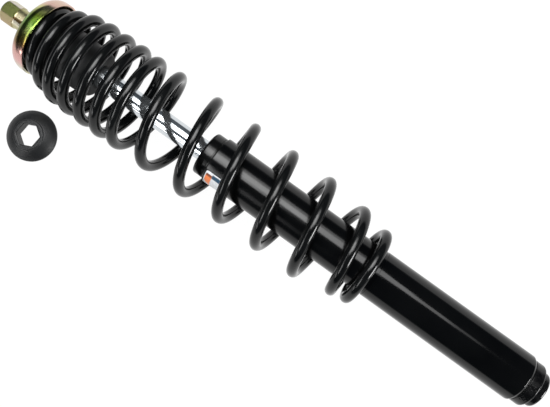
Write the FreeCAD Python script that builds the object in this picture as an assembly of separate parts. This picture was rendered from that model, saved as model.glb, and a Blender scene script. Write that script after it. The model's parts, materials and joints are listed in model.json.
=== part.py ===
import FreeCAD, Part
import math, os

# Coil-over strut with a separate hexagon bushing, in millimetres.
# Row frame: the damper axis is X, the origin is the mouth of the bolt hole in the
# hexagon end, +X points out of that end, +Z is up, the whole thing lies on a floor.
# "station" s is the distance from the hexagon end, so a station s is at X = -s.

os.makedirs("parts", exist_ok=True)
V = FreeCAD.Vector

# ---------------------------------------------------------------- driving sizes
HEX_AF = 22.0            # across flats of the top hexagon
HEX_LEN = 16.4           # length of the hexagon
HEX_TURN = 17.5          # one corner lies this far from +Z, towards +Y (degrees)
COLLAR_R = 11.3          # round neck between the hexagon and the cup
BOLT_R = 5.0             # top bolt hole, wall radius
BOLT_DEPTH = 13.0
CUP_R = 41.2             # outer radius of the spring cup
CUP_RIM_S = 55.6         # station of the cup's rim
CUP_WALL = 5.3           # straight part of the cup's wall
CUP_CORNER = 12.15       # outer corner radius of the cup
CUP_CONE = math.radians(24.0)
CUP_T = 2.2              # sheet thickness of the cup
ROD_R = 11.1             # 22.2 mm chromed rod
SHANK_R = 6.0            # threaded shanks at both ends of the rod
ROD_TOP_S = 34.4         # rod shoulder below the cup
ROD_LOW_S = 392.0        # rod shoulder above the piston
TUBE_R = 25.4            # 50.8 mm outer tube (the clamp zone)
TUBE_R_UPPER = 25.1      # the tube above the clamp zone, under the spring
TUBE_RI = 23.3
TUBE_TOP_S = 266.5
TUBE_END_S = 636.4
CLAMP_TOP_S = 462.0      # the bare clamp zone runs from here to the tube's end
CAP_R = 23.2             # gland cap and lower plug
CAP_TOP_S = 254.0
PLUG_END_S = 649.2
BOSS_R = 18.5
BOSS_END_S = 657.6
INNER_R = 17.0           # pressure tube
INNER_RI = 15.5
WIRE_R = 5.72            # spring wire
FLOOR_Z = -52.79         # the lowest coil rests here, and so does the loose bushing
BUSH_X, BUSH_Y = -76.45, 97.5   # the loose hexagon bushing beside the top end
BUSH_R = 28.4
BUSH_H = 12.6
BUSH_AF = 23.2


def save(node, shape):
    shape.exportStep("parts/" + node + ".step")


def turned(points):
    """Solid of revolution about X from (station, radius) points, in order."""
    pts = [V(-s, r, 0) for s, r in points]
    pts.append(pts[0])
    face = Part.Face(Part.makePolygon(pts))
    return face.revolve(V(0, 0, 0), V(1, 0, 0), 360)


def turned_wire(edges):
    """Solid of revolution about X from joined edges lying in the XY plane."""
    face = Part.Face(Part.Wire(Part.__sortEdges__(edges)))
    return face.revolve(V(0, 0, 0), V(1, 0, 0), 360)


def cyl(s0, s1, r, y=0.0, z=0.0):
    return Part.makeCylinder(r, s1 - s0, V(-s1, y, z), V(1, 0, 0))


def ring(s0, s1, ro, ri):
    return cyl(s0, s1, ro).cut(cyl(s0 - 1, s1 + 1, ri))


def hexbar(s0, s1, af, turn=0.0):
    r = af / math.sqrt(3.0)
    pts = []
    for k in range(6):
        a = math.radians(turn + 60 * k)
        pts.append(V(-s1, r * math.sin(a), r * math.cos(a)))
    pts.append(pts[0])
    return Part.Face(Part.makePolygon(pts)).extrude(V(s1 - s0, 0, 0))


def torus(s, r, minor):
    return Part.makeTorus(r, minor, V(-s, 0, 0), V(1, 0, 0))


def ports(shape, s0, s1, pitch_r, r, count, start=0.0):
    for k in range(count):
        a = math.radians(start + 360.0 * k / count)
        shape = shape.cut(cyl(s0, s1, r, pitch_r * math.cos(a), pitch_r * math.sin(a)))
    return shape


# ---------------------------------------------------------------- top hexagon stud
bar = hexbar(0, HEX_LEN, HEX_AF, HEX_TURN)
rc = HEX_AF / math.sqrt(3.0)
# both ends of the hexagon are chamfered by a cone
chamfer = turned([(0, 0), (0, rc - 2.2), (3.0, rc + 0.4), (HEX_LEN - 0.9, rc + 0.4), (HEX_LEN, rc - 0.5), (HEX_LEN, 0)])
stud = bar.common(chamfer)
stud = stud.fuse(turned([(HEX_LEN - 0.5, 0), (HEX_LEN - 0.5, COLLAR_R), (28.4, COLLAR_R), (29.2, COLLAR_R - 0.8), (29.2, 7.9), (31.6, 7.9), (31.6, 0)]))
stud = stud.cut(cyl(-1, BOLT_DEPTH, BOLT_R))
stud = stud.cut(cyl(15.5, 33, SHANK_R + 0.05)).removeSplitter()
save("top_hex_stud", stud)

# ---------------------------------------------------------------- spring cup (pressed sheet)
def cup_profile(off):
    """(rim, wall end, arc middle, arc end, centre start) at an inward offset."""
    r = CUP_R - off
    cs = CUP_RIM_S - CUP_WALL
    cr = CUP_R - CUP_CORNER
    rad = CUP_CORNER - off
    end = math.pi / 2 - CUP_CONE
    p0 = (CUP_RIM_S, r)
    p1 = (cs, r)
    pm = (cs - rad * math.sin(end / 2), cr + rad * math.cos(end / 2))
    p2 = (cs - rad * math.sin(end), cr + rad * math.cos(end))
    return p0, p1, pm, p2


def at(p):
    return V(-p[0], p[1], 0)


o0, o1, om, o2 = cup_profile(0)
i0, i1, im, i2 = cup_profile(CUP_T)
# the sheet ends in a flat ring round the stud
flat_o = (29.3, 12.6)
edges = [
    Part.LineSegment(at(o0), at(o1)).toShape(),
    Part.Arc(at(o1), at(om), at(o2)).toShape(),
    Part.LineSegment(at(o2), at(flat_o)).toShape(),
    Part.LineSegment(at(flat_o), at((29.3, 8.0))).toShape(),
    Part.LineSegment(at((29.3, 8.0)), at((31.7, 8.0))).toShape(),
    Part.LineSegment(at((31.7, 8.0)), at((31.7, 12.0))).toShape(),
    Part.LineSegment(at((31.7, 12.0)), at(i2)).toShape(),
    Part.Arc(at(i2), at(im), at(i1)).toShape(),
    Part.LineSegment(at(i1), at(i0)).toShape(),
    # rounded lip
    Part.Arc(at(i0), at((CUP_RIM_S + 0.8, CUP_R - CUP_T / 2)), at(o0)).toShape(),
]
cup = turned_wire(edges)
save("spring_cup", cup)

# ---------------------------------------------------------------- bump stop and its washer
save("bump_stop_washer", turned([(31.8, 6.15), (31.8, 11.7), (35.4, 19.2), (37.4, 19.2), (34.3, 12.6), (34.3, 6.15)]))

bs = [(34.6, 11.35), (34.6, 12.4), (37.9, 19.6), (41.0, 22.4), (46.5, 23.2), (56.0, 24.2), (66.0, 25.9), (74.0, 26.9),
      (80.0, 27.3), (88.0, 27.1), (97.0, 26.6), (110.0, 26.0), (116.0, 25.3), (119.4, 24.0), (121.0, 21.4),
      (121.2, 14.2), (119.0, 11.35)]
spl = Part.BSplineCurve()
spl.interpolate([at(p) for p in bs[2:15]])
bump_edges = [
    Part.LineSegment(at(bs[0]), at(bs[1])).toShape(),
    Part.LineSegment(at(bs[1]), at(bs[2])).toShape(),
    spl.toShape(),
    Part.LineSegment(at(bs[14]), at(bs[15])).toShape(),
    Part.LineSegment(at(bs[15]), at(bs[16])).toShape(),
    Part.LineSegment(at(bs[16]), at(bs[0])).toShape(),
]
bump = turned_wire(bump_edges)
save("bump_stop", bump)

# ---------------------------------------------------------------- rod
rod = turned([
    (14.6, 0), (14.6, SHANK_R - 1.0), (15.6, SHANK_R), (ROD_TOP_S, SHANK_R), (ROD_TOP_S, ROD_R - 0.8),
    (ROD_TOP_S + 0.8, ROD_R), (309.0, ROD_R), (309.0, ROD_R - 1.1), (313.1, ROD_R - 1.1), (313.1, ROD_R),
    (ROD_LOW_S - 0.8, ROD_R), (ROD_LOW_S, ROD_R - 0.8), (ROD_LOW_S, SHANK_R), (425.0, SHANK_R),
    (426.0, SHANK_R - 1.0), (426.0, 0)])
# the top shank starts just below the web of the stud
rod = rod.cut(cyl(10, 15.7, 12.0))
save("piston_rod", rod)

# rebound stop: a split steel ring closed into the rod's groove, with its rubber buffer
stop_ring = turned([(309.15, ROD_R - 1.0), (309.15, 14.4), (309.8, 14.9), (312.4, 14.9), (313.0, 14.4), (313.0, ROD_R - 1.0)])
stop_ring = stop_ring.cut(Part.makeBox(6, 1.2, 20, V(-315, -0.6, 0)))
save("rebound_stop_ring", stop_ring)
save("rebound_buffer", turned([(303.0, 11.4), (302.6, 12.4), (302.6, 13.6), (303.4, 14.6), (308.2, 15.0), (309.0, 14.6), (309.0, 11.4)]))

# ---------------------------------------------------------------- piston on the lower shank
# check plate (moves 1.0 mm), its guide washer, piston, band, shim stack, nut
save("check_guide_washer", turned([(392.1, 6.1), (392.1, 10.2), (393.2, 10.2), (393.2, 7.6), (395.6, 7.6), (395.6, 6.1)]))
plate = ring(394.7, 395.5, 13.2, 7.7)
save("piston_check_plate", plate)
piston = turned([
    (395.7, 6.1), (395.7, 14.6), (396.3, 15.2), (398.3, 15.2), (398.3, 13.4), (408.3, 13.4), (408.3, 15.2),
    (410.2, 15.2), (410.8, 14.6), (410.8, 6.1)])
piston = ports(piston, 390, 415, 10.8, 1.5, 6)
piston = ports(piston, 390, 415, 8.3, 0.9, 6, 30.0)
save("piston", piston)
save("piston_band", ring(398.5, 408.1, 15.46, 13.6))
shims = [ring(410.9, 411.25, 12.6, 6.1), ring(411.35, 411.7, 10.6, 6.1), ring(411.8, 412.15, 8.8, 6.1)]
save("rebound_shims", Part.makeCompound(shims))
save("shim_washer", ring(412.3, 414.6, 9.2, 6.1))
nut = hexbar(414.7, 422.0, 18.0, 0.0).common(turned([(414.7, 0), (414.7, 9.2), (415.6, 10.6), (421.1, 10.6), (422.0, 9.2), (422.0, 0)]))
save("piston_nut", nut.cut(cyl(410, 430, SHANK_R + 0.1)))

# ---------------------------------------------------------------- outer tube
tube = turned([
    (TUBE_TOP_S + 0.8, TUBE_RI), (TUBE_TOP_S, TUBE_RI + 0.5), (TUBE_TOP_S, TUBE_R_UPPER - 1.2),
    (TUBE_TOP_S + 0.35, TUBE_R_UPPER - 0.5), (TUBE_TOP_S + 1.2, TUBE_R_UPPER), (CLAMP_TOP_S, TUBE_R_UPPER),
    (CLAMP_TOP_S, TUBE_R), (TUBE_END_S - 1.8, TUBE_R), (TUBE_END_S - 0.8, TUBE_R - 0.35), (TUBE_END_S - 0.15, TUBE_R - 1.0),
    (TUBE_END_S, TUBE_R - 1.7), (TUBE_END_S, TUBE_RI)])
save("outer_tube", tube)

# gland cap: a collar screwed into the tube, holding the seal pack
cap = turned([
    (CAP_TOP_S, 11.5), (CAP_TOP_S, CAP_R - 2.0), (CAP_TOP_S + 0.6, CAP_R - 0.6), (CAP_TOP_S + 2.0, CAP_R),
    (273.4, CAP_R), (273.4, 21.2), (276.6, 21.2), (276.6, CAP_R), (282.0, CAP_R), (282.0, 17.2), (259.2, 17.2),
    (259.2, 14.4), (257.4, 13.2), (257.4, 11.5)])
save("gland_cap", cap)
save("gland_o_ring", torus(275.0, 22.25, 1.0))

# wiper lip, oil seal, garter spring and seal washer inside the cap
save("wiper_lip", turned([(259.3, 11.15), (259.3, 14.3), (257.9, 13.2), (257.5, 11.3)]))
seal = turned([
    (259.5, 11.8), (259.5, 17.1), (270.5, 17.1), (270.5, 15.4), (262.6, 15.4), (262.6, 13.6), (265.0, 13.6), (265.0, 12.7),
    (267.2, 12.7), (267.2, 13.8), (269.0, 13.8), (269.0, 11.8), (267.4, 11.16), (264.0, 11.16), (262.0, 11.8)])
save("rod_seal", seal)
save("garter_spring", torus(266.1, 13.55, 0.75))
save("seal_washer", ring(270.6, 272.6, 17.1, 12.2))

# rod guide with its bushing
guide = turned([
    (272.7, 12.3), (272.7, 17.1), (282.1, 17.1), (282.1, CAP_R), (294.0, CAP_R), (294.0, 15.45), (302.0, 15.45),
    (302.0, 12.3)])
guide = ports(guide, 281, 295, 20.0, 1.6, 4, 20.0)
save("rod_guide", guide)
save("guide_bushing", ring(275.0, 301.0, 12.25, 11.15))

# pressure tube
save("pressure_tube", ring(294.1, 612.0, INNER_R, INNER_RI))

# ---------------------------------------------------------------- base valve
base = turned([
    (600.0, 3.1), (600.0, 15.45), (612.1, 15.45), (612.1, 19.0), (621.9, 19.0), (621.9, 16.4), (616.0, 16.4), (616.0, 3.1)])
base = ports(base, 590, 617, 11.4, 1.6, 6)
base = ports(base, 590, 617, 6.6, 0.9, 4, 45.0)
for k in range(4):
    slot = Part.makeBox(5.0, 6.0, 24.0, V(-622.0, -3.0, 0.0))
    slot.rotate(V(0, 0, 0), V(1, 0, 0), 45 + 90 * k)
    base = base.cut(slot)
save("base_valve_body", base)
save("foot_valve_plate", ring(599.0, 599.9, 13.6, 8.2))
save("foot_valve_washer", turned([(599.9, 3.1), (599.9, 8.1), (597.6, 8.1), (597.6, 12.0), (596.8, 12.0), (596.8, 3.1)]))
bolt = hexbar(592.8, 596.7, 8.0).fuse(cyl(596.6, 620.6, 3.0)).removeSplitter()
save("base_valve_bolt", bolt)
save("base_valve_shims", Part.makeCompound([ring(616.1, 616.5, 9.4, 3.1), ring(616.6, 617.0, 7.2, 3.1)]))
save("base_valve_nut", hexbar(617.1, 620.0, 10.0).cut(cyl(610, 630, 3.1)))

# ---------------------------------------------------------------- lower plug with its boss
plug = turned([
    (622.0, 23.2), (TUBE_END_S + 0.5, 23.2), (TUBE_END_S + 0.5, 22.7), (TUBE_END_S + 1.5, 22.7), (TUBE_END_S + 1.5, 23.2),
    (PLUG_END_S - 1.8, 23.2), (PLUG_END_S - 0.6, 22.6), (PLUG_END_S, 21.4), (PLUG_END_S, BOSS_R + 0.6),
    (PLUG_END_S + 0.6, BOSS_R), (BOSS_END_S - 2.2, BOSS_R), (BOSS_END_S - 0.7, BOSS_R - 0.7), (BOSS_END_S, BOSS_R - 2.2),
    (BOSS_END_S, 6.1), (646.0, 6.1), (646.0, 3.0), (638.0, 3.0), (638.0, 0.0), (634.0, 0.0), (634.0, 14.0), (628.0, 17.0), (622.0, 17.0)])
save("lower_plug", plug)
# hexagon socket filler screw in the boss
fill = turned([(638.3, 0.0), (638.3, 2.4), (638.8, 2.9), (646.1, 2.9), (646.1, 5.6), (646.5, 6.0), (655.9, 6.0), (656.5, 5.4), (656.5, 0.0)])
fill = fill.cut(hexbar(650.5, 658.0, 6.0))
save("filler_screw", fill)

# ---------------------------------------------------------------- label on the tube
lab_a0, lab_a1 = 31.0, 101.0        # degrees from +Z towards +Y
lab = ring(268.9, 296.0, TUBE_R_UPPER + 0.16, TUBE_R_UPPER + 0.01)
wedge_pts = [V(-320, 0, 0)]
for a in (lab_a0, (lab_a0 + lab_a1) / 2, lab_a1):
    wedge_pts.append(V(-320, 60 * math.sin(math.radians(a)), 60 * math.cos(math.radians(a))))
wedge_pts.append(wedge_pts[0])
wedge = Part.Face(Part.makePolygon(wedge_pts)).extrude(V(80, 0, 0))
save("label", lab.common(wedge))

# ---------------------------------------------------------------- coil spring
# Half turn nodes of the wire's centre line: stations from the hexagon end, centre radii.
# The wire turns from -Y over +Z to +Y as the station grows.
node_s = [53.9, 64.0, 70.9, 78.2, 86.7, 95.0, 103.9, 113.6, 123.3, 133.1, 143.0, 153.0, 162.9, 174.0, 189.2,
          211.4, 234.6, 257.8, 281.0, 304.2, 327.4, 350.4, 373.2, 395.4, 417.6, 436.2, 448.6, 452.4]
node_r = [31.6, 34.5, 37.8, 41.1, 43.6, 45.4, 45.8, 46.0, 46.1, 46.2, 46.35, 46.4, 46.2, 45.95, 46.5, 46.0, 47.5, 45.9, 48.0, 45.7,
          48.0, 46.1, 47.75, 46.4, 43.6, 38.85, 37.0, 36.0]
# closed end turns
lead_s = [46.9, 48.4]
lead_r = [30.0, 30.2]
turns_psi = [-90.0 - 270.0, -90.0 - 180.0] + [-90.0 + 180.0 * k for k in range(28)]
all_s = lead_s + node_s
all_r = lead_r + node_r
turns_psi.append(turns_psi[-1] + 120.0)
all_s.append(453.4)
all_r.append(35.8)


def natural_spline(x, y):
    n = len(x)
    h = [x[i + 1] - x[i] for i in range(n - 1)]
    al = [0.0] * n
    for i in range(1, n - 1):
        al[i] = 3 * ((y[i + 1] - y[i]) / h[i] - (y[i] - y[i - 1]) / h[i - 1])
    l, mu, z = [1.0] * n, [0.0] * n, [0.0] * n
    for i in range(1, n - 1):
        l[i] = 2 * (x[i + 1] - x[i - 1]) - h[i - 1] * mu[i - 1]
        mu[i] = h[i] / l[i]
        z[i] = (al[i] - h[i - 1] * z[i - 1]) / l[i]
    c, b, d = [0.0] * n, [0.0] * n, [0.0] * n
    for j in range(n - 2, -1, -1):
        c[j] = z[j] - mu[j] * c[j + 1]
        b[j] = (y[j + 1] - y[j]) / h[j] - h[j] * (c[j + 1] + 2 * c[j]) / 3
        d[j] = (c[j + 1] - c[j]) / (3 * h[j])

    def f(t):
        j = 0
        while j < n - 2 and t > x[j + 1]:
            j += 1
        u = t - x[j]
        return y[j] + b[j] * u + c[j] * u * u + d[j] * u ** 3
    return f


fs = natural_spline(turns_psi, all_s)
fr = natural_spline(turns_psi, all_r)


def wire_point(psi):
    a = math.radians(psi)
    r = fr(psi)
    return V(-fs(psi), r * math.sin(a), r * math.cos(a))


psi0, psi1 = turns_psi[0], turns_psi[-1]
STEP = 30.0                 # degrees between two sections
AROUND = 12                 # points round the wire
count = int(round((psi1 - psi0) / STEP))
STEP = (psi1 - psi0) / count
rows = []
for i in range(count + 1):
    psi = psi0 + STEP * i
    p = wire_point(psi)
    t = wire_point(psi + 0.05).sub(wire_point(psi - 0.05)).normalize()
    out = V(0, math.sin(math.radians(psi)), math.cos(math.radians(psi)))
    n1 = out.sub(t * out.dot(t)).normalize()
    n2 = t.cross(n1)
    rows.append([p + (n1 * math.cos(2 * math.pi * j / AROUND) + n2 * math.sin(2 * math.pi * j / AROUND)) * WIRE_R
                 for j in range(AROUND + 1)])
skin = Part.BSplineSurface()
skin.interpolate(rows)
u0, u1, v0, v1 = skin.bounds()
halves = []
for va, vb in ((v0, (v0 + v1) / 2), ((v0 + v1) / 2, v1)):
    half = skin.copy()
    half.segment(u0, u1, va, vb)
    halves.append(half)
ends = [Part.Face(Part.Wire([h.uIso(u).toShape() for h in halves])) for u in (u0, u1)]
shell = Part.Shell([h.toShape() for h in halves] + ends)
shell.sewShape(1e-4)
spring = Part.Solid(shell)
if spring.Volume < 0:
    spring = spring.reversed()
save("coil_spring", spring)
length = sum(wire_point(psi0 + (psi1 - psi0) * i / 4000).distanceToPoint(wire_point(psi0 + (psi1 - psi0) * (i + 1) / 4000)) for i in range(4000))
print("spring wire length", round(length, 1), "volume over section x length", round(spring.Volume / (length * math.pi * WIRE_R ** 2), 5), spring.isValid())

# ---------------------------------------------------------------- loose hexagon bushing
bz = FLOOR_Z
prof = [(0, 0), (BUSH_R - 0.8, 0), (BUSH_R, 0.9), (BUSH_R, 2.6), (26.9, 0.35 * BUSH_H), (24.0, 0.56 * BUSH_H), (20.6, 0.75 * BUSH_H), (17.6, 0.88 * BUSH_H), (16.4, BUSH_H - 0.8), (15.4, BUSH_H), (0, BUSH_H)]
bpts = [V(r, 0, z) for r, z in prof]
bsp = Part.BSplineCurve()
bsp.interpolate([V(r, 0, z) for r, z in prof[3:8]])
be = [Part.LineSegment(bpts[0], bpts[1]).toShape(), Part.LineSegment(bpts[1], bpts[2]).toShape(), Part.LineSegment(bpts[2], bpts[3]).toShape(), bsp.toShape(),
      Part.LineSegment(bpts[7], bpts[8]).toShape(), Part.LineSegment(bpts[8], bpts[9]).toShape(), Part.LineSegment(bpts[9], bpts[10]).toShape(),
      Part.LineSegment(bpts[10], bpts[0]).toShape()]
bush = Part.Face(Part.Wire(Part.__sortEdges__(be))).revolve(V(0, 0, 0), V(0, 0, 1), 360)
hr = BUSH_AF / math.sqrt(3.0)
hp = [V(hr * math.cos(math.radians(24.8 + 60 * k)), hr * math.sin(math.radians(24.8 + 60 * k)), -1) for k in range(6)]
hp.append(hp[0])
bush = bush.cut(Part.Face(Part.makePolygon(hp)).extrude(V(0, 0, BUSH_H + 2)))
# shallow ring groove round the hexagon on top
bush = bush.cut(Part.makeCylinder(17.4, 3, V(0, 0, BUSH_H + 5)))
bush.translate(V(BUSH_X, BUSH_Y, bz))
save("hex_bushing", bush)
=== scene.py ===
import bpy, math, json
from mathutils import Matrix, Vector


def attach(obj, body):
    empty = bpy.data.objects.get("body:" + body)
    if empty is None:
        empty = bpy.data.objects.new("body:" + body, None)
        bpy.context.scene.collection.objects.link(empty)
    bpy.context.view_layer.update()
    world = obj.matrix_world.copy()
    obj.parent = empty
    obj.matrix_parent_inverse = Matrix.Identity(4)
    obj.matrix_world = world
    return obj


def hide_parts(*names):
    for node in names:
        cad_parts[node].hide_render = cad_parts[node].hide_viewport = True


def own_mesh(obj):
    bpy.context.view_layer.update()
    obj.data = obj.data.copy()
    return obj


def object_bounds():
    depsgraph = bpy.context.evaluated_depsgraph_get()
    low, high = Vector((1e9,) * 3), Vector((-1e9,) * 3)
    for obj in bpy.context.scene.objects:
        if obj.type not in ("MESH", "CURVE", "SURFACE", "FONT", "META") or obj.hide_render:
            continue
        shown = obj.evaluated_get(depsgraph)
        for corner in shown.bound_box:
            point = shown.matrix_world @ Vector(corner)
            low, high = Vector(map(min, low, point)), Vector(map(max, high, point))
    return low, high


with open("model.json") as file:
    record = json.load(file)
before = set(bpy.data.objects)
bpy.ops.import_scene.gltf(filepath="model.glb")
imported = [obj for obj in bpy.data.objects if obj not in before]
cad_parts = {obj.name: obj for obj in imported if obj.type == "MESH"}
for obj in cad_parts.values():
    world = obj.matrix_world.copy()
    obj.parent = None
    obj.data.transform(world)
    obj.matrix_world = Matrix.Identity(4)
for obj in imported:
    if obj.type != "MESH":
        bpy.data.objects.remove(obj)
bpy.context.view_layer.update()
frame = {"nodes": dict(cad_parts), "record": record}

MM = 0.001
NODES = frame["nodes"]


# ------------------------------------------------------------------ node helpers
class Mat:
    """A small wrapper that builds a Principled material from procedural nodes."""

    def __init__(self, name):
        self.m = bpy.data.materials.new(name)
        self.m.use_nodes = True
        self.nt = self.m.node_tree
        self.nt.nodes.clear()
        self.out = self.node("ShaderNodeOutputMaterial")
        self.p = self.node("ShaderNodeBsdfPrincipled")
        self.link(self.p.outputs[0], self.out.inputs[0])
        self.tc = self.node("ShaderNodeTexCoord")
        self.obj = self.tc.outputs["Object"]
        self.height = None

    def node(self, kind, **kw):
        n = self.nt.nodes.new(kind)
        for k, v in kw.items():
            setattr(n, k, v)
        return n

    def link(self, a, b):
        self.nt.links.new(a, b)

    def mapping(self, scale):
        n = self.node("ShaderNodeMapping")
        n.inputs["Scale"].default_value = scale
        self.link(self.obj, n.inputs["Vector"])
        return n.outputs[0]

    def noise(self, scale, detail=4.0, rough=0.55, stretch=None, dist=0.0):
        n = self.node("ShaderNodeTexNoise")
        n.inputs["Scale"].default_value = scale
        n.inputs["Detail"].default_value = detail
        n.inputs["Roughness"].default_value = rough
        n.inputs["Distortion"].default_value = dist
        self.link(self.mapping(stretch) if stretch else self.obj, n.inputs["Vector"])
        return n.outputs["Fac"]

    def voronoi(self, scale, feature="F1", stretch=None):
        n = self.node("ShaderNodeTexVoronoi")
        n.feature = feature
        n.inputs["Scale"].default_value = scale
        self.link(self.mapping(stretch) if stretch else self.obj, n.inputs["Vector"])
        return n.outputs["Distance"]

    def ramp(self, fac, stops, interp="LINEAR"):
        n = self.node("ShaderNodeValToRGB")
        n.color_ramp.interpolation = interp
        els = n.color_ramp.elements
        while len(els) < len(stops):
            els.new(0.5)
        for e, (p, c) in zip(els, stops):
            e.position = p
            e.color = (c[0], c[1], c[2], 1.0) if isinstance(c, (tuple, list)) else (c, c, c, 1.0)
        self.link(fac, n.inputs["Fac"])
        return n.outputs["Color"]

    def maprange(self, val, a, b, c, d, smooth=False):
        n = self.node("ShaderNodeMapRange")
        if smooth:
            n.interpolation_type = "SMOOTHSTEP"
        n.clamp = True
        for i, v in enumerate((a, b, c, d)):
            n.inputs[1 + i].default_value = v
        self.link(val, n.inputs[0])
        return n.outputs[0]

    def math(self, op, a, b=None, c=None, clamp=False):
        n = self.node("ShaderNodeMath", operation=op, use_clamp=clamp)
        for i, v in enumerate((a, b, c)):
            if v is None:
                continue
            if isinstance(v, (int, float)):
                n.inputs[i].default_value = v
            else:
                self.link(v, n.inputs[i])
        return n.outputs[0]

    def mix(self, fac, a, b, blend="MIX"):
        n = self.node("ShaderNodeMix", data_type="RGBA", blend_type=blend)
        if isinstance(fac, (int, float)):
            n.inputs[0].default_value = fac
        else:
            self.link(fac, n.inputs[0])
        for i, v in ((6, a), (7, b)):
            if isinstance(v, (tuple, list)):
                n.inputs[i].default_value = (v[0], v[1], v[2], 1.0)
            else:
                self.link(v, n.inputs[i])
        return n.outputs[2]

    def xyz(self):
        n = self.node("ShaderNodeSeparateXYZ")
        self.link(self.obj, n.inputs[0])
        return n.outputs

    def angle(self):
        """Angle about the damper axis in degrees, 0 at +Z and positive towards +Y."""
        x, y, z = self.xyz()
        return self.math("MULTIPLY", self.math("ARCTAN2", y, z), 57.29578)

    def edge(self, amount=0.5, radius=0.6 * MM):
        """Lighter colour along convex edges, from the Geometry node's pointiness: wear on the black and steel parts, a
        painted highlight on the zinc parts.
        """
        g = self.node("ShaderNodeNewGeometry")
        return self.maprange(g.outputs["Pointiness"], 0.52, 0.62, 0.0, amount, True)

    def bump(self, height, strength, dist):
        n = self.node("ShaderNodeBump")
        n.inputs["Strength"].default_value = strength
        n.inputs["Distance"].default_value = dist
        self.link(height, n.inputs["Height"])
        if self.height is not None:
            self.link(self.height, n.inputs["Normal"])
        self.height = n.outputs[0]
        self.link(self.height, self.p.inputs["Normal"])

    def set(self, **kw):
        names = {"color": "Base Color", "rough": "Roughness", "metal": "Metallic", "ior": "IOR", "coat": "Coat Weight",
                 "coat_rough": "Coat Roughness", "spec": "Specular IOR Level", "sheen": "Sheen Weight", "aniso": "Anisotropic"}
        for k, v in kw.items():
            s = self.p.inputs[names[k]]
            if isinstance(v, (int, float)):
                s.default_value = v
            elif isinstance(v, (tuple, list)):
                s.default_value = (v[0], v[1], v[2], 1.0)
            else:
                self.link(v, s)
        return self


# ------------------------------------------------------------------ materials
def powder_coat():
    m = Mat("powder_coat_black")
    n = m.noise(55.0, 3.0)
    fine = m.noise(900.0, 2.0)
    wear = m.edge(0.10)
    col = m.mix(m.maprange(n, 0.3, 0.7, 0.0, 1.0), (0.0017, 0.0018, 0.0019), (0.0038, 0.0041, 0.0042))
    col = m.mix(wear, col, (0.03, 0.03, 0.03))
    m.set(color=col, rough=m.maprange(n, 0.3, 0.7, 0.135, 0.180), spec=0.5, ior=1.37, coat=0.0)
    m.bump(fine, 0.12, 0.05 * MM)
    m.bump(m.noise(260.0, 2.0), 0.10, 0.10 * MM)
    return m.m


def gloss_tube():
    m = Mat("gloss_black_paint")
    n = m.noise(18.0, 4.0)
    s = m.noise(60.0, 3.0, stretch=(0.12, 1.0, 1.0))
    col = m.mix(m.maprange(n, 0.35, 0.7, 0.0, 1.0), (0.0008, 0.0008, 0.0009), (0.0019, 0.0020, 0.0021))
    x, y, z = m.xyz()
    # the coat is duller near the top, glossier on the bare clamp length
    along = m.maprange(x, -0.50, -0.36, 0.0, 1.0, True)
    base = m.maprange(along, 0.0, 1.0, 0.11, 0.17)
    m.set(color=col, rough=m.math("ADD", base, m.maprange(s, 0.3, 0.7, -0.02, 0.03)), spec=0.5, ior=1.37, coat=0.0)
    m.bump(m.noise(420.0, 2.0), 0.05, 0.06 * MM)
    m.bump(s, 0.05, 0.05 * MM)
    return m.m


def satin_cap():
    m = Mat("satin_black_cap")
    n = m.noise(90.0, 3.0)
    turn = m.noise(700.0, 2.0, stretch=(1.0, 0.02, 0.02))
    col = m.mix(m.maprange(n, 0.3, 0.7, 0.0, 1.0), (0.0016, 0.0016, 0.0016), (0.0040, 0.0040, 0.0039))
    col = m.mix(m.edge(0.25), col, (0.10, 0.10, 0.10))
    m.set(color=col, rough=m.maprange(n, 0.3, 0.7, 0.17, 0.24), spec=0.5, ior=1.37)
    m.bump(turn, 0.08, 0.05 * MM)
    m.bump(m.noise(500.0, 2.0), 0.10, 0.05 * MM)
    return m.m


def stamped_plug():
    m = Mat("stamped_black_plug")
    n = m.noise(140.0, 4.0)
    pits = m.voronoi(520.0)
    pit = m.maprange(pits, 0.10, 0.42, 0.0, 1.0, True)
    col = m.mix(m.maprange(n, 0.45, 0.70, 0.0, 1.0), (0.0016, 0.0016, 0.0017), (0.0060, 0.0060, 0.0062))
    col = m.mix(m.maprange(pit, 0.0, 0.5, 0.20, 0.0), col, (0.03, 0.03, 0.03))
    m.set(color=col, rough=m.maprange(n, 0.3, 0.7, 0.14, 0.26), spec=0.5, ior=1.37)
    m.bump(pit, 0.10, 0.10 * MM)
    m.bump(n, 0.12, 0.10 * MM)
    return m.m


def chrome():
    m = Mat("hard_chrome")
    n = m.noise(30.0, 3.0)
    turn = m.noise(1500.0, 2.0, stretch=(1.0, 0.015, 0.015))
    col = m.mix(m.maprange(n, 0.3, 0.7, 0.0, 1.0), (0.62, 0.66, 0.69), (0.68, 0.71, 0.73))
    m.set(color=col, metal=0.935, rough=m.maprange(n, 0.3, 0.7, 0.085, 0.125))
    m.bump(n, 0.02, 0.02 * MM)
    return m.m


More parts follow.
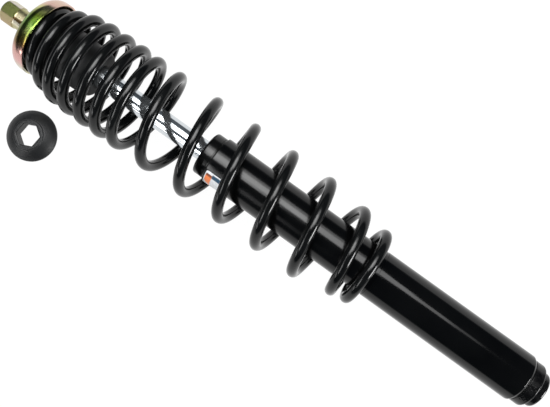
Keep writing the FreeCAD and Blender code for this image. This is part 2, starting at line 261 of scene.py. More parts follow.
def yellow_zinc(name="yellow_zinc", about_axis=True):
    m = Mat(name)
    a = m.angle()
    n = m.noise(26.0, 4.0, dist=0.6)
    n2 = m.noise(75.0, 3.0, dist=0.4)
    shift = m.math("MULTIPLY", m.math("SUBTRACT", n, 0.5), 20.0)
    ang = m.math("ADD", a, shift)
    t = m.maprange(ang, -180.0, 180.0, 0.0, 1.0)
    straw = (0.66, 0.60, 0.36)
    # Colour bands round the axis: painted reflection and shade over a chromate tint. The pink bands at the sides paint
    # the white floor's reflection, the dark green and brown bands on top paint shade, and a greener strip among them
    # paints the highlight.
    stops = [(-180, (0.34, 0.34, 0.12)), (-125, (0.66, 0.60, 0.36)), (-95, (0.74, 0.50, 0.42)), (-62, (0.66, 0.47, 0.38)), (-46, (0.64, 0.42, 0.36)),
             (-34, (0.56, 0.54, 0.24)), (-18, (0.13, 0.19, 0.020)), (-2, (0.15, 0.30, 0.045)), (12, (0.13, 0.14, 0.025)), (28, (0.20, 0.11, 0.040)),
             (38, (0.60, 0.34, 0.30)), (58, (0.68, 0.40, 0.38)), (78, (0.60, 0.58, 0.46)), (100, (0.62, 0.56, 0.32)), (180, (0.34, 0.34, 0.12))]
    tint_and_painted_reflection = m.ramp(t, [((a_ + 180.0) / 360.0, c_) for a_, c_ in stops])
    col = m.mix(m.maprange(n2, 0.45, 0.72, 0.0, 0.14), tint_and_painted_reflection, straw)
    # Bright gold along the lip and other convex edges: a painted highlight.
    col = m.mix(m.edge(0.6), col, (0.86, 0.74, 0.42))
    m.set(color=col, metal=1.0, rough=m.maprange(n2, 0.3, 0.7, 0.15, 0.24))
    m.bump(m.noise(380.0, 3.0), 0.025, 0.03 * MM)
    m.bump(n2, 0.05, 0.15 * MM)
    return m.m


def yellow_zinc_stud():
    m = Mat("yellow_zinc_stud")
    a = m.angle()
    x, y, z = m.xyz()
    n = m.noise(60.0, 4.0, dist=0.5)
    n2 = m.noise(140.0, 3.0)
    ang = m.math("ADD", a, m.math("MULTIPLY", m.math("SUBTRACT", n, 0.5), 9.0))
    t = m.maprange(ang, -180.0, 180.0, 0.0, 1.0)
    # Each hex face gets its own colour: painted shade darkens the faces turned up, and painted light brightens the
    # faces turned to the sides.
    hex_painted_face_shade = m.ramp(t, [(0.0, (0.42, 0.42, 0.20)), (0.215, (0.60, 0.55, 0.40)), (0.374, (0.58, 0.52, 0.44)), (0.389, (0.15, 0.165, 0.055)), (0.541, (0.145, 0.160, 0.055)),
                     (0.556, (0.42, 0.36, 0.19)), (0.70, (0.46, 0.36, 0.22)), (0.86, (0.60, 0.56, 0.32)), (1.0, (0.42, 0.42, 0.20))])
    # Bright and dark bands round the neck: a painted reflection.
    neck_painted_reflection = m.ramp(t, [(0.0, (0.60, 0.55, 0.34)), (0.36, (0.40, 0.38, 0.19)), (0.45, (0.52, 0.46, 0.28)), (0.505, (0.66, 0.58, 0.38)), (0.525, (0.12, 0.075, 0.030)),
                     (0.555, (0.12, 0.075, 0.030)), (0.575, (0.95, 0.88, 0.68)), (0.612, (0.95, 0.88, 0.68)), (0.65, (0.46, 0.42, 0.24)), (1.0, (0.60, 0.55, 0.34))])
    col = m.mix(m.maprange(x, -0.0170, -0.0160, 1.0, 0.0), hex_painted_face_shade, neck_painted_reflection)
    # Bright gold along the hex chamfers and other convex edges: a painted highlight.
    col = m.mix(m.edge(0.55), col, (0.80, 0.72, 0.46))
    m.set(color=col, metal=1.0, rough=m.maprange(n2, 0.3, 0.7, 0.24, 0.38))
    m.bump(m.noise(420.0, 3.0), 0.14, 0.06 * MM)
    return m.m


def rubber(name, dark, light, rough0, rough1, scale=120.0):
    m = Mat(name)
    n = m.noise(scale, 4.0)
    big = m.noise(scale * 0.22, 3.0)
    col = m.mix(m.maprange(n, 0.3, 0.7, 0.0, 1.0), dark, light)
    col = m.mix(m.maprange(big, 0.42, 0.70, 0.0, 0.45), col, tuple(min(1, c * 2.0) for c in light))
    m.set(color=col, rough=m.maprange(big, 0.3, 0.7, rough0, rough1), spec=0.5, ior=1.42)
    m.bump(m.noise(scale * 8.0, 3.0), 0.22, 0.08 * MM)
    m.bump(big, 0.10, 0.4 * MM)
    return m.m


def turned_steel(name, c0, c1, rough=(0.22, 0.36), metal=1.0, along_x=True):
    m = Mat(name)
    lines = m.noise(900.0, 2.0, stretch=(1.0, 0.03, 0.03))
    n = m.noise(120.0, 4.0)
    col = m.mix(m.maprange(n, 0.3, 0.7, 0.0, 1.0), c0, c1)
    col = m.mix(m.edge(0.4), col, tuple(min(1.0, c * 1.5) for c in c1))
    m.set(color=col, metal=metal, rough=m.maprange(lines, 0.3, 0.7, rough[0], rough[1]))
    m.bump(lines, 0.15, 0.05 * MM)
    return m.m


def sintered():
    m = Mat("sintered_iron")
    grain = m.noise(1100.0, 3.0)
    n = m.noise(90.0, 4.0)
    col = m.mix(m.maprange(grain, 0.35, 0.65, 0.0, 1.0), (0.09, 0.09, 0.095), (0.26, 0.26, 0.27))
    m.set(color=col, metal=0.85, rough=m.maprange(n, 0.3, 0.7, 0.48, 0.62))
    m.bump(grain, 0.5, 0.10 * MM)
    return m.m


def ptfe():
    m = Mat("filled_ptfe")
    grain = m.noise(900.0, 3.0)
    col = m.mix(m.maprange(grain, 0.4, 0.65, 0.0, 1.0), (0.10, 0.15, 0.12), (0.20, 0.27, 0.22))
    m.set(color=col, rough=m.maprange(grain, 0.3, 0.7, 0.42, 0.55))
    m.bump(grain, 0.25, 0.06 * MM)
    return m.m


def label_film():
    """A plain printed film: blocks and bars of colour, with no lettering, and painted shade along one side of the
    orange block.
    """
    m = Mat("label_film")
    x, y, z = m.xyz()
    a = m.angle()
    s = m.math("MULTIPLY", x, -1000.0)            # station in millimetres
    paper = m.noise(500.0, 3.0)
    white = m.mix(m.maprange(paper, 0.3, 0.7, 0.0, 1.0), (0.66, 0.68, 0.70), (0.76, 0.78, 0.80))

    def band(v, lo, hi, soft):
        up = m.maprange(v, lo - soft, lo + soft, 0.0, 1.0)
        dn = m.maprange(v, hi - soft, hi + soft, 1.0, 0.0)
        return m.math("MULTIPLY", up, dn)
    col = white
    blue = m.math("MULTIPLY", band(s, 276.6, 330.0, 0.3), band(a, 34.6, 45.5, 0.8))
    col = m.mix(blue, col, (0.012, 0.060, 0.115))
    start = m.math("ADD", 269.9, m.math("MULTIPLY", m.math("POWER", m.math("MAXIMUM", m.math("SUBTRACT", a, 60.0), 0.0), 2.0), 0.018))
    inside = m.maprange(m.math("SUBTRACT", s, start), -0.3, 0.3, 0.0, 1.0)
    orange = m.math("MULTIPLY", m.math("MULTIPLY", inside, m.maprange(s, 276.4, 277.0, 1.0, 0.0)), band(a, 38.0, 88.0, 0.8))
    # The orange block turns dark brown along its side towards the top of the tube: painted shade.
    orange_with_painted_shade = m.mix(m.maprange(a, 43.0, 47.0, 0.0, 1.0), (0.22, 0.050, 0.010), (0.86, 0.21, 0.045))
    col = m.mix(orange, col, orange_with_painted_shade)
    grey = m.math("MULTIPLY", band(s, 280.0, 294.0, 0.2), band(a, 58.0, 64.0, 0.5))
    col = m.mix(m.math("MULTIPLY", grey, 0.20), col, (0.35, 0.38, 0.36))
    m.set(color=col, rough=m.maprange(paper, 0.3, 0.7, 0.30, 0.40), spec=0.5)
    m.bump(paper, 0.06, 0.03 * MM)
    return m.m


MATS = {
    "zinc_yellow": yellow_zinc(),
    "spring_black": powder_coat(),
    "tube_black": gloss_tube(),
    "cap_black": satin_cap(),
    "rod_chrome": chrome(),
    "stop_rubber": rubber("bump_stop_rubber", (0.0022, 0.0024, 0.0026), (0.0075, 0.0080, 0.0085), 0.36, 0.55, 80.0),
    "bushing_rubber": rubber("bushing_rubber", (0.0014, 0.0016, 0.0019), (0.0062, 0.0068, 0.0074), 0.36, 0.56, 60.0),
    "label_film": label_film(),
    "steel": turned_steel("machined_steel", (0.42, 0.42, 0.43), (0.56, 0.56, 0.57)),
    "steel_tube": turned_steel("drawn_steel", (0.36, 0.37, 0.38), (0.50, 0.51, 0.52), (0.26, 0.40)),
    "sintered": sintered(),
    "shim_steel": turned_steel("shim_steel", (0.58, 0.58, 0.60), (0.70, 0.70, 0.72), (0.16, 0.26)),
    "bronze": turned_steel("bronze_liner", (0.46, 0.32, 0.14), (0.62, 0.46, 0.22), (0.26, 0.38)),
    "seal_rubber": rubber("nitrile_rubber", (0.010, 0.009, 0.009), (0.022, 0.018, 0.016), 0.34, 0.48, 160.0),
    "band_ptfe": ptfe(),
}
PLUG = stamped_plug()
STUD = yellow_zinc_stud()
for sp in frame["record"]["subparts"]:
    o = NODES[sp["node"]]
    o.data.materials.clear()
    o.data.materials.append(MATS[sp["material_slot"]])
NODES["lower_plug"].data.materials[0] = PLUG
NODES["top_hex_stud"].data.materials[0] = STUD


# ------------------------------------------------------------------ mesh helpers
def add_object(name, verts, faces, material, sharp=32.0):
    me = bpy.data.meshes.new(name)
    me.from_pydata([tuple(v) for v in verts], [], faces)
    me.validate()
    me.update()
    o = bpy.data.objects.new(name, me)
    bpy.context.scene.collection.objects.link(o)
    me.materials.append(material)
    for p in me.polygons:
        p.use_smooth = True
    me.set_sharp_from_angle(angle=math.radians(sharp))
    return o


def rounded(points, radius, steps=5, closed=False):
    """Rounds the corners of a (s, r) polyline. points: (s, r) or (s, r, own radius)."""
    out = []
    n = len(points)
    for i, p in enumerate(points):
        own = p[2] if len(p) > 2 else radius
        if (not closed and i in (0, n - 1)) or own <= 0:
            out.append((p[0], p[1]))
            continue
        a, b = points[(i - 1) % n], points[(i + 1) % n]
        va = Vector((a[0] - p[0], a[1] - p[1]))
        vb = Vector((b[0] - p[0], b[1] - p[1]))
        la, lb = va.length, vb.length
        va.normalize()
        vb.normalize()
        turn = math.pi - va.angle(vb)
        if turn < 0.05:
            out.append((p[0], p[1]))
            continue
        d = min(own * math.tan(turn / 2), 0.49 * la, 0.49 * lb)
        r = d / math.tan(turn / 2)
        bis = (va + vb).normalized()
        c = Vector((p[0], p[1])) + bis * math.sqrt(d * d + r * r)
        p0 = Vector((p[0], p[1])) + va * d
        p1 = Vector((p[0], p[1])) + vb * d
        a0 = math.atan2(p0.y - c.y, p0.x - c.x)
        a1 = math.atan2(p1.y - c.y, p1.x - c.x)
        da = (a1 - a0 + math.pi) % (2 * math.pi) - math.pi
        for k in range(steps + 1):
            t = a0 + da * k / steps
            out.append((c.x + r * math.cos(t), c.y + r * math.sin(t)))
    return out


def lathe(name, profile, material, segs=128, closed=False, sharp=32.0, radius_of=None, split=2.5, uneven=None):
    """Turns a (station, radius) profile in millimetres about the damper axis.
    radius_of(s, r, angle) may return another radius, for hexagons."""
    prof = []
    pts = list(profile) + ([profile[0]] if closed else [])
    for (s0, r0), (s1, r1) in zip(pts, pts[1:]):
        prof.append((s0, r0))
        if split:
            n = int(math.hypot(s1 - s0, r1 - r0) / split)
            for k in range(1, n):
                prof.append((s0 + (s1 - s0) * k / n, r0 + (r1 - r0) * k / n))
    if not closed:
        prof.append(pts[-1])
    verts, faces, rows = [], [], []
    for s, r in prof:
        if r <= 1e-6:
            rows.append([len(verts)])
            verts.append((-s * MM, 0, 0))
            continue
        row = []
        for k in range(segs):
            a = 2 * math.pi * k / segs
            rr = radius_of(s, r, a) if radius_of else r
            if uneven:
                rr += uneven(s, a)
            row.append(len(verts))
            verts.append((-s * MM, rr * math.sin(a) * MM, rr * math.cos(a) * MM))
        rows.append(row)
    pairs = list(zip(rows, rows[1:]))
    if closed:
        pairs.append((rows[-1], rows[0]))
    for a, b in pairs:
        if len(a) == 1 and len(b) == 1:
            continue
        for k in range(segs):
            k2 = (k + 1) % segs
            if len(a) == 1:
                faces.append((a[0], b[k2], b[k]))
            elif len(b) == 1:
                faces.append((a[k], a[k2], b[0]))
            else:
                faces.append((a[k], a[k2], b[k2], b[k]))
    o = add_object(name, verts, faces, material, sharp)
    fix_normals(o)
    return o


def fix_normals(o):
    import bmesh
    bm = bmesh.new()
    bm.from_mesh(o.data)
    bmesh.ops.remove_doubles(bm, verts=bm.verts, dist=1e-7)
    bmesh.ops.recalc_face_normals(bm, faces=bm.faces)
    bm.to_mesh(o.data)
    bm.free()
    for p in o.data.polygons:
        p.use_smooth = True


def take(o, body, node, slot, *more):
    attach(o, body)
    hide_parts(node, *more)
    return o


# ------------------------------------------------------------------ hexagon stud
HEX_AF, HEX_LEN, HEX_TURN = 22.0, 16.4, 17.5
rc = HEX_AF / math.sqrt(3.0)


def hex_radius(a, af, turn, corner):
    t = (math.degrees(a) - turn) % 60.0 - 30.0
    flat = (af / 2) / math.cos(math.radians(t))
    return min(flat, corner)


def stud_radius(s, r, a):
    if s > HEX_LEN + 0.001 or r < 10.3:
        return r
    return min(hex_radius(a, HEX_AF, HEX_TURN, rc - 0.18), r)


stud_prof = [(13.0, 0.0), (13.0, 5.0), (0.35, 5.0), (0.0, 5.35)]
stud_prof += [(0.0, rc - 2.4), (0.08, rc - 2.2)]
for k in range(1, 13):
    stud_prof.append((3.0 * k / 12, rc - 2.2 + 2.6 * k / 12))
stud_prof += [(4.5, rc + 0.4), (8.0, rc + 0.4), (12.0, rc + 0.4), (HEX_LEN - 0.9, rc + 0.4)]
for k in range(1, 7):
    stud_prof.append((HEX_LEN - 0.9 + 0.9 * k / 6, rc + 0.4 - 0.9 * k / 6))
stud_prof += rounded([(HEX_LEN + 0.01, rc - 0.6), (HEX_LEN + 0.02, 11.3, 0.5), (28.4, 11.3, 0.4), (29.2, 10.5, 0.2), (29.2, 7.9), (31.6, 7.9, 0.1), (31.6, 6.05), (15.5, 6.05), (15.5, 0.0)], 0.1, 4)
stud = lathe("stud_body", stud_prof, STUD, segs=216, sharp=24.0, radius_of=stud_radius, split=1.6)
take(stud, "rod_assembly", "top_hex_stud", "zinc_yellow")

# ------------------------------------------------------------------ spring cup
CUP_R, RIM_S, WALL, CORNER, CONE, SHEET = 41.2, 55.6, 5.3, 12.15, math.radians(24.0), 2.2


def cup_arc(off, n=14):
    cs, cr, rad = RIM_S - WALL, CUP_R - CORNER, CORNER - off
    end = math.pi / 2 - CONE
    return [(cs - rad * math.sin(end * k / n), cr + rad * math.cos(end * k / n)) for k in range(n + 1)]


lip = []
for k in range(9):
    a = math.pi * k / 8
    lip.append((RIM_S + 0.85 * math.sin(a), CUP_R - SHEET / 2 + SHEET / 2 * math.cos(a)))
outer = cup_arc(0.0)
inner = cup_arc(SHEET)
cup_prof = lip[::-1] + outer + [(29.75, 13.6), (29.3, 12.2), (29.3, 8.0), (31.7, 8.0), (31.7, 11.6), (32.1, 12.9)] + inner[::-1]
cup = lathe("cup_shell", cup_prof, MATS["zinc_yellow"], segs=192, closed=True, sharp=50.0, split=2.0)
take(cup, "rod_assembly", "spring_cup", "zinc_yellow")

# ------------------------------------------------------------------ rod
rod_prof = rounded([(15.7, 0.0), (15.7, 5.9, 0.3), (34.4, 6.0, 0.0), (34.4, 10.3, 0.1), (35.2, 11.1, 0.4), (309.0, 11.1, 0.15), (309.0, 10.0), (313.1, 10.0),
                    (313.1, 11.1, 0.15), (391.2, 11.1, 0.3), (392.0, 10.3, 0.1), (392.0, 6.0), (425.0, 6.0, 0.2), (426.0, 5.0, 0.2), (426.0, 0.0)], 0.0, 3)
rod = lathe("rod_bar", rod_prof, MATS["rod_chrome"], segs=128, sharp=30.0, split=6.0)
take(rod, "rod_assembly", "piston_rod", "rod_chrome")

# ------------------------------------------------------------------ bump stop
def bez(pts, per=6):
    out = []
    for i in range(len(pts) - 1):
        p0 = pts[max(i - 1, 0)]
        p1, p2 = pts[i], pts[i + 1]
        p3 = pts[min(i + 2, len(pts) - 1)]
        for k in range(per):
            t = k / per
            out.append(tuple(0.5 * ((2 * p1[j]) + (-p0[j] + p2[j]) * t + (2 * p0[j] - 5 * p1[j] + 4 * p2[j] - p3[j]) * t * t
                                    + (-p0[j] + 3 * p1[j] - 3 * p2[j] + p3[j]) * t ** 3) for j in (0, 1)))
    out.append(pts[-1])
    return out


bump_prof = [(34.6, 11.35), (34.6, 12.4)] + bez([(37.9, 19.6), (41.0, 22.3), (46.5, 23.2), (56.0, 24.2), (66.0, 25.9), (74.0, 26.9), (80.0, 27.3), (88.0, 27.1),
                                                 (97.0, 26.6), (110.0, 26.0), (116.0, 25.3), (119.4, 24.0), (121.0, 21.4)], 4)
bump_prof += rounded([(121.0, 21.4), (121.2, 14.2, 0.8), (119.0, 11.35, 0.5), (60.0, 11.35)], 0.5, 4)[1:] + [(34.6, 11.35)]
bump = lathe("bump_stop_body", bump_prof[:-1], MATS["stop_rubber"], segs=144, closed=True, sharp=50.0, split=2.0)
take(bump, "rod_assembly", "bump_stop", "stop_rubber")

# ------------------------------------------------------------------ outer tube
tube_prof = rounded([(267.2, 23.3, 0.1), (266.5, 23.8, 0.1), (266.5, 24.1, 0.2), (266.8, 24.7, 0.4), (267.7, 25.1, 0.8), (461.9, 25.1), (462.1, 25.4),
                     (634.3, 25.4, 1.6), (636.0, 24.3, 0.9), (636.4, 23.6, 0.2), (636.4, 23.3)], 0.0, 5, closed=True)
tube = lathe("tube_shell", tube_prof, MATS["tube_black"], segs=160, closed=True, sharp=40.0, split=8.0)
take(tube, "damper_body", "outer_tube", "tube_black")

# ------------------------------------------------------------------ gland cap
cap_prof = rounded([(254.0, 11.5, 0.3), (254.0, 21.6, 0.8), (254.6, 22.7, 0.6), (256.0, 23.2, 1.0), (264.9, 23.2, 0.2), (265.2, 22.85, 0.1), (265.9, 22.85, 0.1), (266.1, 23.2, 0.1),
                    (273.4, 23.2), (273.4, 21.2), (276.6, 21.2), (276.6, 23.2), (282.0, 23.2), (282.0, 17.2), (259.2, 17.2), (259.2, 14.4), (257.4, 13.2), (257.4, 11.5, 0.2)], 0.0, 4, closed=True)
cap = lathe("cap_body", cap_prof, MATS["cap_black"], segs=160, closed=True, sharp=40.0, split=3.0)
take(cap, "damper_body", "gland_cap", "cap_black")

# ------------------------------------------------------------------ lower plug with punch marks
def dents(s, a):
    """Rows of small punch marks pressed into the visible band, with no lettering."""
    d = 0.0
    deg = math.degrees(a)
    for row, s0 in enumerate((640.6, 643.2, 645.8)):
        if abs(s - s0) < 1.0:
            for start, stop, step in ((-6.0, 46.0, 4.0), (92.0, 128.0, 4.0), (186.0, 246.0, 4.0)):
                off = (deg + 360.0 - start) % 360.0
                if off < (stop - start):
                    u = (off % step) - step / 2
                    seed = int(off // step) * 7 + row * 3
                    if (seed * 37) % 5 in (0, 1, 3):
                        d -= 0.30 * max(0.0, 1.0 - (s - s0) ** 2 / 0.72) * max(0.0, 1.0 - (u / 1.45) ** 2)
    return d


plug_prof = rounded([(622.0, 17.0), (622.0, 23.2), (636.9, 23.2, 0.1), (636.9, 22.7), (637.9, 22.7), (637.9, 23.15, 0.2), (639.0, 23.2), (647.4, 23.2, 1.0), (648.7, 22.5, 0.9), (649.2, 21.3, 0.4),
                     (649.2, 19.1, 0.4), (649.8, 18.5, 0.3), (655.4, 18.5, 1.2), (656.9, 17.8, 0.9), (657.6, 16.3, 0.6), (657.6, 6.1, 0.4), (646.0, 6.1), (646.0, 3.0), (638.0, 3.0), (638.0, 0.0)], 0.0, 5)
plug_prof += []
plug_in = [(622.0, 17.0), (628.0, 17.0), (634.0, 14.0), (634.0, 0.0)]
plug = lathe("plug_body", plug_prof, PLUG, segs=360, sharp=40.0, split=0.45,
             uneven=lambda s, a: dents(s, a))
plug2 = lathe("plug_inside", plug_in, PLUG, segs=96, sharp=40.0, split=3.0)
bpy.ops.object.select_all(action="DESELECT")
plug2.select_set(True)
plug.select_set(True)
bpy.context.view_layer.objects.active = plug
bpy.ops.object.join()
fix_normals(plug)
plug.data.set_sharp_from_angle(angle=math.radians(40))
take(plug, "damper_body", "lower_plug", "cap_black")

# ------------------------------------------------------------------ label
verts, faces = [], []
A0, A1, S0, S1 = 31.0, 101.0, 268.9, 296.0
NA, NS = 40, 26
CR = 2.2


def corner_clip(u, v):
    """Pulls a grid point inside rounded corners (u along the tube, v round it, in mm)."""
    L, Wd = S1 - S0, (A1 - A0) * math.pi / 180 * 25.1
    cu = min(max(u, CR), L - CR)
    cv = min(max(v, CR), Wd - CR)
    du, dv = u - cu, v - cv
    d = math.hypot(du, dv)
    if d > CR:
        du, dv = du * CR / d, dv * CR / d
    return cu + du, cv + dv


for layer in (25.25, 25.112):
    for i in range(NA + 1):
        for j in range(NS + 1):
            u, v = (S1 - S0) * j / NS, (A1 - A0) * math.pi / 180 * 25.1 * i / NA
            u, v = corner_clip(u, v)
            a = math.radians(A0) + v / 25.1
            verts.append((-(S0 + u) * MM, layer * math.sin(a) * MM, layer * math.cos(a) * MM))
off = (NA + 1) * (NS + 1)
for i in range(NA):
    for j in range(NS):
        a = i * (NS + 1) + j
        b = a + NS + 1
        faces.append((a, a + 1, b + 1, b))
        faces.append((off + a, off + b, off + b + 1, off + a + 1))
for i in range(NA):
    for j in (0, NS):
        a = i * (NS + 1) + j
        faces.append((a, a + NS + 1, off + a + NS + 1, off + a))
for j in range(NS):
    for i in (0, NA):
        a = i * (NS + 1) + j
        faces.append((a, a + 1, off + a + 1, off + a))
lab = add_object("label_sheet", verts, faces, MATS["label_film"], 40.0)
fix_normals(lab)
take(lab, "damper_body", "label", "label_film")

# ------------------------------------------------------------------ coil spring
WIRE_R = 5.72
node_s = [53.9, 64.0, 70.9, 78.2, 86.7, 95.0, 103.9, 113.6, 123.3, 133.1, 143.0, 153.0, 162.9, 174.0, 189.2,
          211.4, 234.6, 257.8, 281.0, 304.2, 327.4, 350.4, 373.2, 395.4, 417.6, 436.2, 448.6, 452.4]
node_r = [31.6, 34.5, 37.8, 41.1, 43.6, 45.4, 45.8, 46.0, 46.1, 46.2, 46.35, 46.4, 46.2, 45.95, 46.5, 46.0, 47.5, 45.9, 48.0, 45.7,
          48.0, 46.1, 47.75, 46.4, 43.6, 38.85, 37.0, 36.0]
all_s = [46.9, 48.4] + node_s + [453.4]
all_r = [30.0, 30.2] + node_r + [35.8]
psis = [-360.0, -270.0] + [-90.0 + 180.0 * k for k in range(28)]
psis.append(psis[-1] + 120.0)


def natural_spline(x, y):
    n = len(x)
    h = [x[i + 1] - x[i] for i in range(n - 1)]
    al = [0.0] * n
    for i in range(1, n - 1):
        al[i] = 3 * ((y[i + 1] - y[i]) / h[i] - (y[i] - y[i - 1]) / h[i - 1])
    l, mu, z = [1.0] * n, [0.0] * n, [0.0] * n
    for i in range(1, n - 1):
        l[i] = 2 * (x[i + 1] - x[i - 1]) - h[i - 1] * mu[i - 1]
        mu[i] = h[i] / l[i]
        z[i] = (al[i] - h[i - 1] * z[i - 1]) / l[i]
    c, b, d = [0.0] * n, [0.0] * n, [0.0] * n
    for j in range(n - 2, -1, -1):
        c[j] = z[j] - mu[j] * c[j + 1]
        b[j] = (y[j + 1] - y[j]) / h[j] - h[j] * (c[j + 1] + 2 * c[j]) / 3
        d[j] = (c[j + 1] - c[j]) / (3 * h[j])

    def f(t):
        j = 0
        while j < n - 2 and t > x[j + 1]:
            j += 1
        u = t - x[j]
        return y[j] + b[j] * u + c[j] * u * u + d[j] * u ** 3
    return f


fs, fr = natural_spline(psis, all_s), natural_spline(psis, all_r)


def wire_point(psi):
    a = math.radians(psi)
    r = fr(psi)
    return Vector((-fs(psi), r * math.sin(a), r * math.cos(a)))


def spring_mesh(step=4.0, around=28):
    p0, p1 = psis[0], psis[-1]
    n = int(round((p1 - p0) / step))
    verts, faces = [], []

    def ringat(psi, radius, shift=0.0):
        p = wire_point(psi)
        t = (wire_point(psi + 0.05) - wire_point(psi - 0.05)).normalized()
        out = Vector((0, math.sin(math.radians(psi)), math.cos(math.radians(psi))))
        n1 = (out - t * out.dot(t)).normalized()
        n2 = t.cross(n1)
        for j in range(around):
            b = 2 * math.pi * j / around
            verts.append((p + t * shift + (n1 * math.cos(b) + n2 * math.sin(b)) * radius) * MM)
    # a cut end with a small bevel
    ringat(p0, 0.02)
    ringat(p0, WIRE_R - 0.7)
    ringat(p0, WIRE_R - 0.2, 0.2)
    ringat(p0, WIRE_R, 0.7)
    for i in range(1, n):
        ringat(p0 + (p1 - p0) * i / n, WIRE_R)
    ringat(p1, WIRE_R, -0.7)
    ringat(p1, WIRE_R - 0.2, -0.2)
    ringat(p1, WIRE_R - 0.7)
    ringat(p1, 0.02)
    rows = len(verts) // around
    for i in range(rows - 1):
        for j in range(around):
            a, b = i * around + j, i * around + (j + 1) % around
            faces.append((a, b, b + around, a + around))
    faces.append(tuple(range(around - 1, -1, -1)))
    faces.append(tuple((rows - 1) * around + j for j in range(around)))
    return verts, faces


verts, faces = spring_mesh()
spring = add_object("spring_wire", verts, faces, MATS["spring_black"], 45.0)
fix_normals(spring)
take(spring, "damper_body", "coil_spring", "spring_black")
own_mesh(spring)

# ------------------------------------------------------------------ loose hexagon bushing
FLOOR = -52.79
BX, BY, BR, BH, BAF = -76.45, 97.5, 28.4, 12.6, 23.2
HEXT = 24.8


def bushing():
    segs = 240
    hole_c = BAF / math.sqrt(3.0)
    k = BH / 15.0
    out_prof = bez([(27.6, 0.0), (28.3, 0.55), (28.4, 1.6), (28.25, 2.7), (26.9, 5.2 * k), (24.0, 8.4 * k), (20.6, 11.2 * k), (18.0, 13.0 * k)], 5)
    out_prof += [(17.3, 13.3 * k), (17.0, 14.0 * k), (16.6, BH - 0.25), (16.1, BH)]
    verts, faces, rows = [], [], []

    def hexr(a, af, corner):
        t = (math.degrees(a) - HEXT) % 60.0 - 30.0
        return min((af / 2) / math.cos(math.radians(t)), corner)

    def add(fr_, z):
        row = []
        for i in range(segs):
            a = 2 * math.pi * i / segs
            r = fr_(a)
            row.append(len(verts))
            verts.append(((BX + r * math.cos(a)) * MM, (BY + r * math.sin(a)) * MM, (FLOOR + z) * MM))
        rows.append(row)
    for r, z in out_prof:
        add(lambda a, r=r: r, z)
    # rim: from the circle towards the hexagon's mouth, with a soft inner edge
    add(lambda a: 0.5 * 15.2 + 0.5 * hexr(a, BAF + 3.0, hole_c + 1.5), BH)
    add(lambda a: hexr(a, BAF + 1.5, hole_c + 0.75), BH - 0.02)
    add(lambda a: hexr(a, BAF + 0.5, hole_c + 0.2), BH - 0.25)
    add(lambda a: hexr(a, BAF, hole_c - 0.15), BH - 0.8)
    for q in range(1, 8):
        add(lambda a: hexr(a, BAF, hole_c - 0.15), (BH - 0.8) * (1 - q / 8) + 0.5 * (q / 8))
    add(lambda a: hexr(a, BAF, hole_c - 0.15), 0.5)
    add(lambda a: hexr(a, BAF + 0.9, hole_c + 0.4), 0.0)
    for q in (0.33, 0.66):
        add(lambda a, q=q: (1 - q) * hexr(a, BAF + 0.9, hole_c + 0.4) + q * 27.6, 0.0)
    for a, b in list(zip(rows, rows[1:])) + [(rows[-1], rows[0])]:
        for i in range(segs):
            j = (i + 1) % segs
            faces.append((a[i], a[j], b[j], b[i]))
    return verts, faces


verts, faces = bushing()
bush = add_object("bushing_body", verts, faces, MATS["bushing_rubber"], 38.0)
fix_normals(bush)
bush.data.set_sharp_from_angle(angle=math.radians(38))
take(bush, "loose_bushing", "hex_bushing", "bushing_rubber")
for o in (stud, cup, rod, bump, tube, cap, spring):
    o.data.set_sharp_from_angle(angle=math.radians(34))

# ------------------------------------------------------------------ floor, light, camera
floor_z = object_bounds()[0][2]
floor_z = min(floor_z, FLOOR * MM)
me = bpy.data.meshes.new("floor")
E = 6.0
me.from_pydata([(-E, -E, floor_z), (E, -E, floor_z), (E, E, floor_z), (-E, E, floor_z)], [], [(0, 1, 2, 3)])
floor = bpy.data.objects.new("floor", me)
bpy.context.scene.collection.objects.link(floor)
fm = Mat("floor_paper")
grain = fm.noise(40.0, 3.0)
fcol = fm.mix(fm.maprange(grain, 0.3, 0.7, 0.0, 1.0), (0.020, 0.020, 0.020), (0.030, 0.030, 0.030))
fm.set(color=fcol, rough=0.9, spec=0.1)
fm.p.inputs["Emission Color"].default_value = (1, 1, 1, 1)
fm.p.inputs["Emission Strength"].default_value = 0.985
me.materials.append(fm.m)

world = bpy.data.worlds.new("studio")
bpy.context.scene.world = world
world.use_nodes = True
wn = world.node_tree
wn.nodes.clear()
wo = wn.nodes.new("ShaderNodeOutputWorld")
bg = wn.nodes.new("ShaderNodeBackground")
tcw = wn.nodes.new("ShaderNodeTexCoord")
sep = wn.nodes.new("ShaderNodeSeparateXYZ")
rp = wn.nodes.new("ShaderNodeValToRGB")
rp.color_ramp.interpolation = "EASE"
els = rp.color_ramp.elements
els[0].position, els[0].color = 0.0, (0.95, 0.95, 0.95, 1)
els[1].position, els[1].color = 1.0, (0.038, 0.050, 0.064, 1)
e = els.new(0.015); e.color = (0.55, 0.56, 0.57, 1)
e = els.new(0.085); e.color = (0.038, 0.050, 0.064, 1)
wn.links.new(tcw.outputs["Generated"], sep.inputs[0])
wn.links.new(sep.outputs["Z"], rp.inputs["Fac"])
wn.links.new(rp.outputs["Color"], bg.inputs["Color"])
bg.inputs["Strength"].default_value = 1.0
wn.links.new(bg.outputs[0], wo.inputs[0])

CENTRE = Vector((-0.33, 0.0, 0.0))


def area(name, matrix, sx, sy, radiance, color):
    li = bpy.data.lights.new(name, "AREA")
    li.shape = "RECTANGLE"
    li.size, li.size_y = sx, sy
    li.energy = radiance * math.pi * sx * sy
    li.color = color
    o = bpy.data.objects.new(name, li)
    o.matrix_world = matrix
    bpy.context.scene.collection.objects.link(o)
    return o


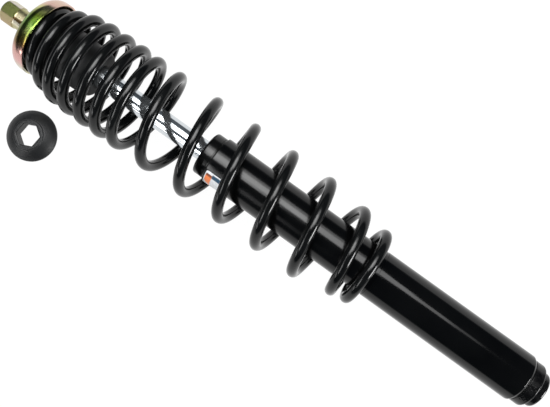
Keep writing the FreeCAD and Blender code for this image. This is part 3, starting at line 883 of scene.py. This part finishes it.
def ceiling(name, x0, x1, a0, a1, radiance, z=1.2, color=(1, 1, 1)):
    """A flat panel above the object, from angle a0 to a1 (degrees from vertical towards +Y)."""
    y0, y1 = z * math.tan(math.radians(a0)), z * math.tan(math.radians(a1))
    return area(name, Matrix.Translation(((x0 + x1) / 2, (y0 + y1) / 2, z)), x1 - x0, y1 - y0, radiance, color)


def softbox(name, direction, dist, sx, sy, radiance, along=(1, 0, 0), centre=CENTRE, color=(1, 1, 1)):
    z = Vector(direction).normalized()
    loc = centre + z * dist
    x = Vector(along)
    x = (x - z * x.dot(z)).normalized()
    y = z.cross(x)
    return area(name, Matrix(((x.x, y.x, z.x, loc.x), (x.y, y.y, z.y, loc.y), (x.z, y.z, z.z, loc.z), (0, 0, 0, 1))), sx, sy, radiance, color)


ceiling("key", -0.42, 0.30, -28.0, -6.0, 10.8)
ceiling("key_inner", -0.27, 0.30, -6.0, 4.5, 8.2)
ceiling("key_soft", -0.42, 0.30, -40.0, -28.0, 4.0)
ceiling("key_b", -0.62, -0.42, -29.0, -4.0, 6.9)
ceiling("key_b_soft", -0.62, -0.42, -40.0, -29.0, 3.2)
ceiling("tail_a", -0.70, -0.62, -31.0, -9.0, 5.2)
ceiling("tail_b", -0.78, -0.70, -28.0, -11.0, 5.6)
ceiling("tail_c", -0.90, -0.78, -24.0, -12.0, 3.8)
ceiling("tail_d", -1.00, -0.90, -23.0, -14.0, 1.5)
ceiling("side_key", 0.33, 0.50, 0.0, 36.0, 6.5)
ceiling("side_wide", 0.05, 0.48, 36.0, 60.0, 8.5)
ceiling("edge_line", 0.60, 0.69, -40.0, 2.0, 2.6)
ceiling("fill_y", -0.29, -0.10, 42.0, 60.0, 1.05)
ceiling("fill_y_soft", -0.40, -0.29, 44.0, 60.0, 0.35)
ceiling("fill_end", 0.66, 1.15, -60.0, -5.0, 0.45, color=(0.95, 1.0, 0.92))
softbox("low_back", (-0.940, 0.0, 0.325), 1.15, 0.46, 0.27, 30.0, along=(0, 1, 0))
softbox("side_low", (0.495, 0.95, 0.22), 1.094, 0.43, 0.15, 4.5, along=(1, 0, 0))

# camera in the row frame
RHO, TAU = math.radians(35.6886), math.radians(-2.7191)
U = Vector((-math.cos(TAU), 0.0, math.sin(TAU)))
W = Vector((0.0, 1.0, 0.0))
right = U * math.cos(RHO) - W * math.sin(RHO)
down = U * math.sin(RHO) + W * math.cos(RHO)
up = -down
back = right.cross(up)
C = Vector((-0.3708, 0.00194, 0.6284)) + right * 0.000376 - down * 0.000509
cam_data = bpy.data.cameras.new("camera")
cam_data.sensor_fit = "HORIZONTAL"
cam_data.sensor_width = 36.0
cam_data.lens = 36.0 * 626.66 / 550.0
cam_data.clip_start = 0.01
cam = bpy.data.objects.new("camera", cam_data)
cam.matrix_world = Matrix(((right.x, up.x, back.x, C.x), (right.y, up.y, back.y, C.y), (right.z, up.z, back.z, C.z), (0, 0, 0, 1)))
bpy.context.scene.collection.objects.link(cam)
bpy.context.scene.camera = cam
bpy.context.scene.view_settings.view_transform = "Standard"
